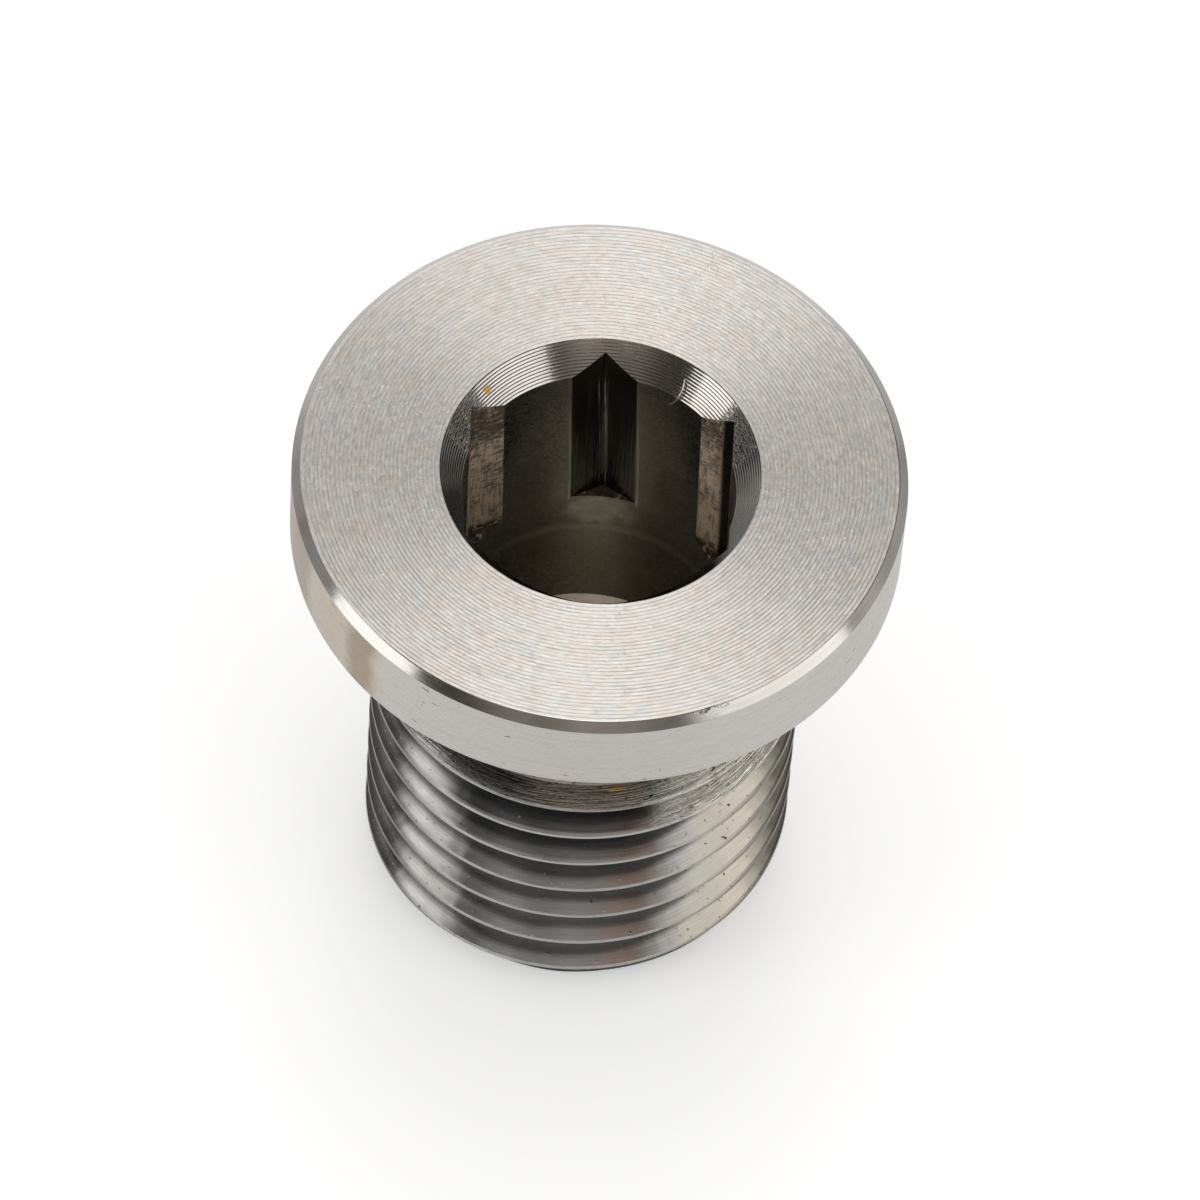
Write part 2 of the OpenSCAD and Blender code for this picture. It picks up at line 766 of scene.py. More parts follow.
    def blend(self, factor: Value, a: Value, b: Value) -> Socket:
        """Mixes two colours.

        Args:
            factor: How much of the second there is, from 0 to 1.
            a: The first colour.
            b: The second colour.

        Returns:
            The mixed colour.
        """
        made = self.node("ShaderNodeMix", data_type="RGBA")
        self.link(factor, made.inputs["Factor"])
        for part, target in ((a, made.inputs[6]), (b, made.inputs[7])):
            self.link((*part, 1) if isinstance(part, tuple) else part, target)
        return made.outputs[2]

    def bump(self, height: Socket, depth: float, under: Socket | None = None) -> Socket:
        """Raises the surface.

        Args:
            height: How high it is, from 0 to 1.
            depth: What 1 stands for in millimetres.
            under: A bumped normal that it lies on.

        Returns:
            The bumped normal.
        """
        made = self.node("ShaderNodeBump")
        made.inputs["Strength"].default_value = 1.0
        made.inputs["Distance"].default_value = depth * MM
        self.link(height, made.inputs["Height"])
        if under is not None:
            self.link(under, made.inputs["Normal"])
        return made.outputs[0]

    def beside(self, value: Socket, line: float, width: float, core: float = 0.3) -> Socket:
        """Finds what lies near a line.

        Args:
            value: The value that crosses the line.
            line: The line's value.
            width: Distance at which nothing of it is left.
            core: Share of the width over which it is whole.

        Returns:
            1 on the line and 0 from the width away from it.
        """
        return self.fall(self.apart(self.minus(value, line)), width * core, width)

    def away(self, place: Socket, centre: Sequence[float], stretch: Sequence[float] = (1, 1, 1)) -> Socket:
        """Measures the distance from a point.

        Args:
            place: Where it is measured.
            centre: The point.
            stretch: How each direction is stretched first.

        Returns:
            The distance.
        """
        length = self.node("ShaderNodeVectorMath", operation="LENGTH")
        offset = self.vector("SUBTRACT", place, tuple(centre))
        self.link(self.vector("MULTIPLY", offset, tuple(stretch)), length.inputs[0])
        return length.outputs["Value"]

    def tool_lines(self, start_r: float, feed: float) -> Socket:
        """1 on each ridge between two turns of a facing tool, and -1 in the hollows."""
        return self.math("COSINE", self.times(self.minus(self.r, start_r), math.tau / feed))

    def nicks(
        self, across: Socket, around: float, feature: float, fine: Point, patch: float, spread: Point,
        detail: float = 2.0,
    ) -> Socket:
        """Scatters small nicks in patches.

        Args:
            across: What changes across the tool's marks.
            around: How many nicks could lie on one radian.
            feature: Width of a nick in millimetres.
            fine: Range of the noise from no nick to a whole one.
            patch: How many patches could lie on a millimetre.
            spread: Range of the noise from no patch to a whole one.
            detail: How ragged the patches are.

        Returns:
            1 where a nick is.
        """
        fine_noise = self.ramp(self.rings(across, around, feature, detail=1), *fine)
        return self.times(fine_noise, self.ramp(self.noise(self.place, patch, detail), *spread))

    def dress(self, **inputs: Value) -> None:
        """Sets or links the shader's inputs, with spaces for underscores in their names."""
        for key, value in inputs.items():
            self.link(value, self.shader.inputs[key.replace("_", " ")])


class Marks(Enum):
    """How the tool's marks lie: round a face, round a wall, or down a wall."""

    FACED = "faced"
    TURNED = "turned"
    BROACHED = "broached"


@dataclass
class Layers:
    """What a finish gives the shader, while its wear is laid over it."""

    recipe: Recipe
    colour: Socket
    roughness: Socket
    normal: Socket
    metallic: Value = 1.0

    def paint(self, factor: Value, colour: Socket | Colour) -> None:
        """Lays a colour over the finish, as far as a factor from 0 to 1 says."""
        self.colour = self.recipe.blend(factor, self.colour, colour)

    def raised(self, height: Socket, depth: float) -> None:
        """Raises the surface by a height from 0 to 1 times a depth in millimetres."""
        self.normal = self.recipe.bump(height, depth, self.normal)

    def matt(self, factor: Value, more: float) -> None:
        """Makes the finish more matt, as far as a factor says."""
        self.roughness = self.recipe.plus(self.roughness, self.recipe.times(factor, more))


@dataclass(frozen=True)
class MachinedSteel:
    """Bare machined stainless steel.

    Attributes:
        name: The material's name.
        colour: The metal's colour.
        tint: A second colour that drifts over it.
        roughness: How matt it is.
        anisotropy: How far the tool's marks stretch a highlight.
        marks: How the tool's marks lie.
        mark_width: Width of the fine marks in millimetres.
        mark_depth: Depth of the fine marks in millimetres.
        dashes: How many torn dashes lie on one radian.
        dash_width: Width of a dash in millimetres.
        dash_depth: Depth of the dashes in millimetres.
        mark_tone: How much darker than the metal the marks are, from 0 to 1.
        lines: How many fine marks lie on one radian.
        stroke: Length of a mark down a wall in millimetres.
    """

    name: str
    colour: Colour = (0.64, 0.62, 0.595)
    tint: Colour = (0.66, 0.61, 0.565)
    roughness: float = 0.22
    anisotropy: float = 0.6
    marks: Marks = Marks.TURNED
    mark_width: float = 0.04
    mark_depth: float = 0.0008
    dashes: float = 12.0
    dash_width: float = 0.06
    dash_depth: float = 0.0006
    mark_tone: float = 0.0
    lines: float = 0.6
    stroke: float = 4.0

    def material(self) -> bpy.types.Material:
        """Builds the finish.

        Returns:
            Its material.
        """
        recipe = Recipe(self.name)
        faced = self.marks is Marks.FACED
        across = recipe.r if faced else recipe.z
        tangent = recipe.flat if faced else recipe.joined(0.0, 0.0, 1.0)
        if self.marks is Marks.BROACHED:
            lines = recipe.rings(recipe.z, 5 / self.mark_width, self.stroke)
        else:
            lines = recipe.rings(across, self.lines, self.mark_width)
        dashes = recipe.rings(across, self.dashes, self.dash_width, detail=1)
        drift = recipe.noise(recipe.place, scale=0.22, detail=2)
        metal = recipe.blend(recipe.ramp(drift, 0.35, 0.7), self.colour, self.tint)
        shade = tuple(part / 2 for part in self.colour)
        layers = Layers(
            recipe,
            colour=recipe.blend(recipe.ramp(lines, 0.4, 0.7, 0.0, self.mark_tone), metal, shade),
            roughness=recipe.ramp(dashes, 0.25, 0.75, self.roughness * 0.8, self.roughness * 1.2),
            normal=recipe.bump(dashes, self.dash_depth, recipe.bump(lines, self.mark_depth)),
        )
        self.wear(recipe, layers)
        recipe.dress(
            Tangent=recipe.vector("NORMALIZE", tangent), Anisotropic=self.anisotropy,
            Base_Color=layers.colour, Roughness=layers.roughness, Normal=layers.normal,
            Metallic=layers.metallic,
        )
        return recipe.material

    def wear(self, recipe: Recipe, layers: Layers) -> None:
        """Lays the finish's own wear over its layers; plain steel has none."""


@dataclass(frozen=True)
class FacedTop(MachinedSteel):
    """The head's top, where each turn of the facing tool leaves a darker line between two hollows; painted
    shade makes these lines strongest at the front and back.

    Attributes:
        sizes: The plug's sizes.
        grooves: Turns of the tool.
        line_and_shade_colour: Colour of the tool's lines and of the painted shade on the top.
        line_strength: How strong these are at most.
        cool: Colour of the streaks.
        warm: Colour of the clouds.
        back_shade: Centre of a painted shade at the back left, in millimetres.
        nick_colour: Colour of the nicks, a painted glint.
        nick_depth: Height of their edges in millimetres.
        front: Range of the share of y in the radius, from the sides to the front and back.
    """

    sizes: PlugSizes = SIZES
    grooves: int = 33
    line_and_shade_colour: Colour = (0.3, 0.285, 0.27)
    line_strength: float = 0.66
    cool: Colour = (0.63, 0.62, 0.605)
    warm: Colour = (0.72, 0.65, 0.595)
    back_shade: Point = (-5.0, 8.0)
    nick_colour: Colour = (0.95, 0.94, 0.92)
    nick_depth: float = 0.012
    front: Point = (0.3, 0.8)

    def wear(self, recipe: Recipe, layers: Layers) -> None:
        """Draws the tool's lines, which waver a little and are partly painted shade, paints shade at the
        sides and the back left, and nicks the top with painted glints.

        Args:
            recipe: The material's node tree.
            layers: What the finish gives the shader.
        """
        s = self.sizes
        feed = (s.head_r - s.head_chamfer - s.mouth_r) / self.grooves
        ahead = recipe.over(recipe.apart(recipe.y), recipe.r)
        waver = recipe.rings(recipe.r, 3.0, feed * 2)
        # The tool's lines, with painted shade: strong at the front and back, faint at the sides.
        ridge = recipe.times(
            recipe.ramp(recipe.tool_lines(s.mouth_r, feed), 0.1, 1.0),
            recipe.ramp(waver, 0.25, 0.7, 0.4, self.line_strength),
            recipe.ramp(ahead, 0.15, 0.65, 0.05, 1.0),
        )
        clouds = recipe.noise(recipe.place, scale=1.1, detail=4, rough=0.65)
        layers.paint(recipe.ramp(clouds, 0.42, 0.6, 0.0, 0.85), self.warm)
        streaks = recipe.rings(recipe.r, 16.0, 0.5)
        layers.paint(recipe.ramp(streaks, 0.5, 0.7, 0.0, 0.6), self.cool)
        # Painted shade: a grain that darkens the sides more than the front and back.
        grain = recipe.ramp(recipe.rings(recipe.r, 34.0, 0.13, rough=0.6), 0.42, 0.62)
        layers.paint(recipe.times(grain, recipe.ramp(ahead, *self.front, 0.28, 0.08)), self.line_and_shade_colour)
        # Painted shade at the back left of the top.
        back_shade = recipe.away(recipe.flat, (*self.back_shade, 0))
        layers.paint(recipe.ramp(back_shade, 3.0, 9.0, 0.1, 0.0), self.line_and_shade_colour)
        layers.paint(ridge, self.line_and_shade_colour)
        # Nicks in the top, with painted glints.
        nick = recipe.nicks(recipe.r, 64.0, 0.12, (0.66, 0.7), 0.45, (0.48, 0.62))
        nick = recipe.times(nick, recipe.ramp(ahead, *self.front, 1.0, 0.3))
        layers.paint(nick, self.nick_colour)
        layers.raised(nick, self.nick_depth)


@dataclass(frozen=True)
class TurnedChamfer(MachinedSteel):
    """The chamfered edge of the head, dimmer at the two sides of its back, with a painted highlight along its
    edge on the left.

    Attributes:
        dim: Colour of the dim bands.
        dim_y: Place of the dim bands in millimetres, with the width over which they fade.
        burr: Centre of a small torn place in millimetres.
        burr_stretch: How its extent is stretched.
        torn: Colour of the torn metal.
        edge_highlight: Colour of the painted highlight along the edge beside the face.
        edge_width: Half the width of that highlight in millimetres.
        highlight_x: Where it fades out on the left, in millimetres.
    """

    dim: Colour = (0.22, 0.215, 0.205)
    dim_y: Point = (3.9, 4.6)
    burr: Place = (4.45, -9.95, 22.86)
    burr_stretch: Place = (0.8, 0.8, 7.0)
    torn: Colour = (0.05, 0.045, 0.04)
    edge_highlight: Colour = (1.0, 0.99, 0.97)
    edge_width: float = 0.035
    highlight_x: Point = (-8.5, -7.0)

    def wear(self, recipe: Recipe, layers: Layers) -> None:
        """Dims the back's sides, tears a small place at the front and paints a highlight along the edge
        beside the face.

        Args:
            recipe: The material's node tree.
            layers: What the finish gives the shader.
        """
        side = recipe.ramp(recipe.x, -9.0, 9.0, 0.32, 0.5)
        layers.paint(recipe.times(recipe.beside(recipe.y, *self.dim_y), side), self.dim)
        torn = recipe.ramp(recipe.noise(recipe.place, scale=5.0, rough=0.7), 0.5, 0.58)
        near = recipe.ramp(recipe.away(recipe.place, self.burr, self.burr_stretch), 0.2, 0.8, 0.8, 0.0)
        torn = recipe.times(torn, near)
        layers.paint(torn, self.torn)
        layers.raised(torn, 0.02)
        # Painted highlight along the edge beside the face, on the far left, fading out to the right.
        waver = recipe.rings(recipe.z, 6.0, 1.0, detail=1)
        edge = recipe.times(
            recipe.beside(recipe.r, SIZES.head_r - SIZES.head_chamfer - 0.02, self.edge_width),
            recipe.fall(recipe.x, *self.highlight_x),
            recipe.ramp(waver, 0.4, 0.6, 0.7, 1.0),
        )
        layers.paint(edge, self.edge_highlight)
        layers.matt(edge, 0.45)


@dataclass(frozen=True)
class CutThread(MachinedSteel):
    """The thread: painted shade in the root and under the head, torn metal near the head, specks of dirt and
    rust.

    Attributes:
        root_r: Radius up to which the root is darkened with painted shade, in millimetres.
        fade: Half the width of the edge of the dark root, in millimetres.
        shaded_turns_z: Height of the turns under the head that are darkest with painted shade at the front,
            in millimetres.
        torn_z: Height above which the cutter tore the metal, in millimetres.
        torn_side: Angle about the axis of the side where it tore most.
        torn_rise: Height over which the tears begin, in millimetres.
        torn_reach: Range of the cosine from that side over which they fade in.
        first_flank: Height of the first flank below the relief, in millimetres.
        crest_r: Radius of the crest in millimetres.
        crest_edge: Where the crest's painted shade begins and is whole, inward of its radius in millimetres.
        crest_x: Where the crest starts to darken with painted shade and is darkest, on both sides.
        low_edge: The same as crest_edge for the wider painted shade on the far left.
        low_x: Where that shade ends.
        warm_reflection_x: Where a painted warm reflection begins and is whole.
        root_waver: How far the root's edge wavers.
        root_x: Range on the right where the root grows narrower.
        root_shift: How far its edge moves inward at the two ends of that range.
        root_z: Range of heights over which the root's painted shade grows darker.
        root_strength: How dark it is at the two ends of these.
        shaded_turns_rise: Where the shaded turns begin and are darkest, below shaded_turns_z.
        shaded_turns_end: Where they end, above shaded_turns_z.
        shaded_turns_left: Where they begin on the left.
        shaded_turns_right: Where they end on the right.
        front_y: Range over which the painted shade and the brown on the first flank's front fade out towards
            the sides.
        shaded_flank_x: Where the painted shade on the first flank's front ends on the right.
        brown_left: Where its brown part begins.
        brown_right: Where that ends.
        chip: Place of a flake that is stuck below the head.
        chip_size: Range of the distance from its place over which it ends.
    """

    root_r: float = 7.47
    fade: float = 0.15
    shaded_turns_z: float = 12.0
    torn_z: float = 9.8
    torn_side: float = math.radians(-42)
    torn_rise: float = 1.4
    torn_reach: Point = (0.87, 0.945)
    first_flank: float = 12.7
    crest_r: float = SIZES.thread_r
    crest_edge: Point = (0.14, 0.06)
    crest_x: Point = (4.5, 7.0)
    low_edge: Point = (0.3, 0.12)
    low_x: Point = (-7.0, -6.2)
    warm_reflection_x: Point = (2.4, 6.2)
    root_waver: float = 0.07
    root_x: Point = (2.0, 5.5)
    root_shift: Point = (-0.07, 0.25)
    root_z: Point = (3.0, 11.0)
    root_strength: Point = (0.76, 0.86)
    shaded_turns_rise: Point = (5.5, 1.0)
    shaded_turns_end: Point = (0.3, 0.8)
    shaded_turns_left: Point = (-5.4, -4.3)
    shaded_turns_right: Point = (1.6, 3.2)
    front_y: Point = (-3.0, 1.0)
    shaded_flank_x: Point = (-2.8, -0.6)
    brown_left: Point = (-2.8, -1.2)
    brown_right: Point = (1.8, 3.2)
    chip_size: Point = (0.56, 0.6)
    crest_shade: Colour = (0.2, 0.195, 0.185)
    painted_shade: Colour = (0.045, 0.045, 0.048)
    warm_reflection: Colour = (0.54, 0.5, 0.425)
    brown: Colour = (0.4, 0.33, 0.27)
    bright: Colour = (0.86, 0.83, 0.76)
    score: Colour = (0.1, 0.092, 0.08)
    hole: Colour = (0.02, 0.018, 0.015)
    dirt: Colour = (0.03, 0.028, 0.025)
    rust: Colour = (0.16, 0.08, 0.035)
    chip: Place = (1.3, -7.14, 13.05)
    gold: Colour = (0.4, 0.26, 0.11)

    def wear(self, recipe: Recipe, layers: Layers) -> None:
        """Paints shade in the root and over the upper turns under the head, dims the crest at the sides with
        painted shade, and paints a warm reflection on the right.

        Args:
            recipe: The material's node tree.
            layers: What the finish gives the shader.
        """
        # Painted warm reflection on the right side of the thread.
        layers.paint(recipe.ramp(recipe.x, *self.warm_reflection_x), self.warm_reflection)
        # Painted shade in the thread's root, darker higher up under the head.
        waver = recipe.rings(recipe.z, 2.0, 3.0, detail=1)
        edge = recipe.plus(
            recipe.r,
            recipe.ramp(waver, 0.3, 0.7, -self.root_waver, self.root_waver),
            recipe.ramp(recipe.x, *self.root_x, *self.root_shift),
        )
        root = recipe.fall(edge, self.root_r - self.fade, self.root_r + self.fade)
        strength = recipe.ramp(recipe.z, *self.root_z, *self.root_strength)
        layers.paint(recipe.times(root, strength), self.painted_shade)
        crest = recipe.ramp(recipe.r, *(self.crest_r - inward for inward in self.crest_edge))
        aside = recipe.times(crest, recipe.ramp(recipe.apart(recipe.x), *self.crest_x, 0.0, 0.8))
        low = recipe.ramp(recipe.r, *(self.crest_r - inward for inward in self.low_edge))
        low = recipe.times(low, recipe.ramp(recipe.x, *self.low_x, 0.65, 0.0))
        layers.paint(recipe.most(aside, low), self.crest_shade)
        # Painted shade over the upper turns at the front, under the head.
        dimmed = recipe.times(
            recipe.ramp(recipe.z, *(self.shaded_turns_z - below for below in self.shaded_turns_rise), 0.0, 0.74),
            recipe.fall(recipe.z, *(self.shaded_turns_z + above for above in self.shaded_turns_end)),
            recipe.ramp(recipe.x, *self.shaded_turns_left),
            recipe.fall(recipe.x, *self.shaded_turns_right),
            recipe.without(crest),
        )
        layers.paint(dimmed, self.painted_shade)
        layers.raised(recipe.rings(recipe.z, 5.0, 0.9), 0.02)
        self.tear(recipe, layers)
        self.soil(recipe, layers)

    def tear(self, recipe: Recipe, layers: Layers) -> None:
        """Tears the metal on one side below the head, scores the first flank all round, paints shade on its
        front and glints on the burrs.

        Args:
            recipe: The material's node tree.
            layers: What the finish gives the shader.
        """
        side = recipe.along(recipe.flat, (math.cos(self.torn_side), math.sin(self.torn_side), 0))
        high = recipe.ramp(recipe.z, self.torn_z, self.torn_z + self.torn_rise)
        amount = recipe.times(high, recipe.ramp(recipe.over(side, recipe.r), *self.torn_reach))
        first = recipe.ramp(recipe.z, self.first_flank - 0.4, self.first_flank)
        front = recipe.times(first, recipe.fall(recipe.y, *self.front_y))
        both = recipe.most(first, amount)
        layers.paint(amount, self.bright)
        layers.matt(amount, 0.06)
        # Painted shade on the front of the first flank, under the head.
        layers.paint(recipe.times(front, recipe.ramp(recipe.x, *self.shaded_flank_x, 0.85, 0.0)), self.painted_shade)
        brown = recipe.times(
            front,
            recipe.ramp(recipe.x, *self.brown_right, 0.75, 0.0),
            recipe.ramp(recipe.x, *self.brown_left, 0.1, 1.0),
        )
        layers.paint(brown, self.brown)
        across = recipe.plus(recipe.r, recipe.times(recipe.z, 0.5))
        scores = recipe.rings(across, 4.0, 0.04, rough=0.6)
        burrs = recipe.ramp(recipe.rings(across, 60.0, 0.06, detail=3, rough=0.7), 0.48, 0.62)
        burrs = recipe.times(burrs, recipe.ramp(recipe.rings(recipe.z, 3.0, 0.5), 0.42, 0.56))
        rough = recipe.plus(recipe.ramp(scores, 0.3, 0.7), recipe.times(burrs, 1.6))
        layers.raised(recipe.times(rough, both), 0.045)
        layers.paint(recipe.times(recipe.ramp(scores, 0.45, 0.62, 0.0, 0.5), both), self.score)
        # Painted glints on the burrs of the torn metal.
        layers.paint(recipe.times(burrs, amount), self.bright)
        holes = recipe.ramp(recipe.rings(across, 30.0, 0.06), 0.66, 0.7)
        layers.paint(recipe.times(holes, both), self.hole)
        jagged = recipe.away(recipe.place, self.chip, (0.75, 1.0, 2.0))
        flake = recipe.fall(recipe.plus(jagged, recipe.times(scores, 0.7)), *self.chip_size)
        layers.paint(flake, recipe.blend(recipe.ramp(scores, 0.4, 0.6), self.gold, self.rust))
        layers.metallic = recipe.without(flake)

    def soil(self, recipe: Recipe, layers: Layers) -> None:
        """Scatters dirt and rust, most of it on the first flank.

        Args:
            recipe: The material's node tree.
            layers: What the finish gives the shader.
        """
        more = recipe.ramp(recipe.z, self.first_flank - 0.5, self.first_flank, 0.0, 0.02)
        specks = recipe.ramp(recipe.plus(recipe.noise(recipe.place, scale=4.2), more), 0.715, 0.74)
        patches = recipe.noise(recipe.place, scale=0.6, detail=1)
        specks = recipe.times(specks, recipe.ramp(patches, 0.46, 0.54))
        kind = recipe.noise(recipe.place, scale=1.7, detail=0)
        layers.paint(specks, recipe.blend(recipe.ramp(kind, 0.45, 0.55), self.dirt, self.rust))
        layers.metallic = recipe.times(layers.metallic, recipe.without(specks))
        layers.raised(specks, 0.03)
        layers.raised(recipe.ramp(recipe.noise(recipe.place, scale=5.5, detail=0), 0.79, 0.83), 0.05)


@dataclass(frozen=True)
class TurnedRim(MachinedSteel):
    """The head's rim, with a painted warm reflection on its left side.

    Attributes:
        warm_reflection_x: Place where the painted reflection is strongest, in millimetres.
        shade_x: Place of a dimmer band of painted reflection further left, in millimetres.
        reflection_left: Where the painted reflection begins and is whole, left of warm_reflection_x in
            millimetres.
        reflection_right: Where it starts to end and ends, right of warm_reflection_x in millimetres.
        thick_width: Half the width of its darkest part in millimetres.
        shade_width: Half the width of the dimmer band in millimetres.
    """

    warm_reflection_x: float = -8.24
    shade_x: float = -10.65
    reflection_left: Point = (3.0, 1.2)
    reflection_right: Point = (0.3, 1.0)
    thick_width: float = 0.62
    shade_width: float = 0.75
    warm_reflection: Colour = (0.65, 0.57, 0.475)
    dark_reflection: Colour = (0.43, 0.35, 0.27)
    nick_colour: Colour = (0.25, 0.24, 0.23)

    def wear(self, recipe: Recipe, layers: Layers) -> None:
        """Paints the warm reflection and a dimmer band, and nicks the rim.

        Args:
            recipe: The material's node tree.
            layers: What the finish gives the shader.
        """
        # Painted reflection: a warm band on the left of the rim, darkest in its middle, and a dimmer band
        # further left.
        waver = recipe.ramp(recipe.noise(recipe.place, scale=0.5), 0.3, 0.7, -0.12, 0.12)
        edge = recipe.plus(recipe.x, waver)
        warm_reflection = recipe.times(
            recipe.ramp(edge, *(self.warm_reflection_x - left for left in self.reflection_left)),
            recipe.fall(edge, *(self.warm_reflection_x + right for right in self.reflection_right)),
        )
        layers.paint(warm_reflection, self.warm_reflection)
        thick = recipe.beside(edge, self.warm_reflection_x, self.thick_width)
        layers.paint(recipe.times(thick, 0.95), self.dark_reflection)
        shade = recipe.beside(edge, self.shade_x, self.shade_width)
        layers.paint(recipe.times(shade, 0.9), self.dark_reflection)
        nick = recipe.nicks(recipe.z, 20.0, 0.16, (0.7, 0.74), 0.5, (0.5, 0.6), detail=1)
        layers.paint(nick, self.nick_colour)


@dataclass(frozen=True)
class CountersunkMouth(MachinedSteel):
    """The countersunk mouth, torn beside the outer corners of the hexagon and darker at both sides.

    Attributes:
        torn: Place of the torn metal, as its distances from the two middle planes in millimetres.
        torn_r: Radius of the torn metal in millimetres.
        burr_depth: Height of its burrs in millimetres.
        grooves: Turns of the tool.
        side_x: Where the sides of the mouth begin and are whole, in millimetres.
        low_y: Where their lower part starts to end and ends.
        dim_x: Where they start to dim and are dimmest.
        middle: Range from the left half to the right half.
        chip: Place of a golden chip in millimetres.
        back_dark_patch: Place of a stain at the back.
    """

    torn: Point = (4.95, 2.2)
    torn_r: float = 1.2
    burr_depth: float = 0.07
    grooves: int = 11
    side_x: Point = (4.0, 5.0)
    low_y: Point = (-0.8, 1.6)
    dim_x: Point = (4.2, 5.3)
    middle: Point = (-2.0, 2.0)
    chip: Place = (-4.22, 3.57, 22.49)
    # back_dark_patch: Place of a dark patch at the back.
    back_dark_patch: Point = (2.2, 5.0)
    dim: Colour = (0.36, 0.35, 0.33)
    ridge: Colour = (0.16, 0.155, 0.15)
    gold: Colour = (0.55, 0.36, 0.09)

    def wear(self, recipe: Recipe, layers: Layers) -> None:
        """Dims and tears the sides of the mouth, and leaves a few golden chips.

        Args:
            recipe: The material's node tree.
            layers: What the finish gives the shader.
        """
        aside = recipe.apart(recipe.x)
        low = recipe.times(recipe.ramp(aside, *self.side_x), recipe.fall(recipe.y, *self.low_y))
        right = recipe.ramp(recipe.x, *self.middle)
        back_dark_patch = recipe.away(recipe.flat, (*self.back_dark_patch, 0))
        dim = recipe.most(
            recipe.times(recipe.ramp(aside, *self.dim_x), recipe.without(recipe.times(low, right))),
            recipe.ramp(back_dark_patch, 0.4, 1.3, 0.5, 0.0),
            recipe.times(recipe.beside(recipe.x, 0.3, 2.4), 0.3),
        )
        layers.paint(dim, self.dim)
        feed = (SIZES.mouth_r - SIZES.bore_r) / self.grooves
        ridge = recipe.ramp(recipe.tool_lines(SIZES.bore_r, feed), 0.0, 1.0, 0.0, 0.5)
        layers.paint(recipe.times(ridge, low), self.ridge)
        dimmed = recipe.times(low, recipe.ramp(recipe.x, -5.0, 5.0, 0.06, 0.3))
        near = recipe.away(recipe.joined(aside, recipe.y, 0.0), (*self.torn, 0))
        near = recipe.fall(near, self.torn_r * 0.45, self.torn_r)
        burrs = recipe.rings(recipe.z, 34.0, 0.1, detail=3, rough=0.7)
        layers.raised(recipe.times(recipe.ramp(burrs, 0.45, 0.65), near), self.burr_depth)
        specks = recipe.ramp(recipe.noise(recipe.place, scale=4.0, detail=1), 0.68, 0.71, 0.0, 0.7)
        jagged = recipe.plus(recipe.away(recipe.place, self.chip), recipe.ramp(burrs, 0.3, 0.7, -0.05, 0.05))
        specks = recipe.times(specks, near, recipe.without(right))
        specks = recipe.most(specks, recipe.fall(jagged, 0.15, 0.19))
        layers.paint(specks, self.gold)
        layers.metallic = recipe.times(recipe.without(dimmed), recipe.ramp(specks, 0.0, 1.0, 1.0, 0.4))


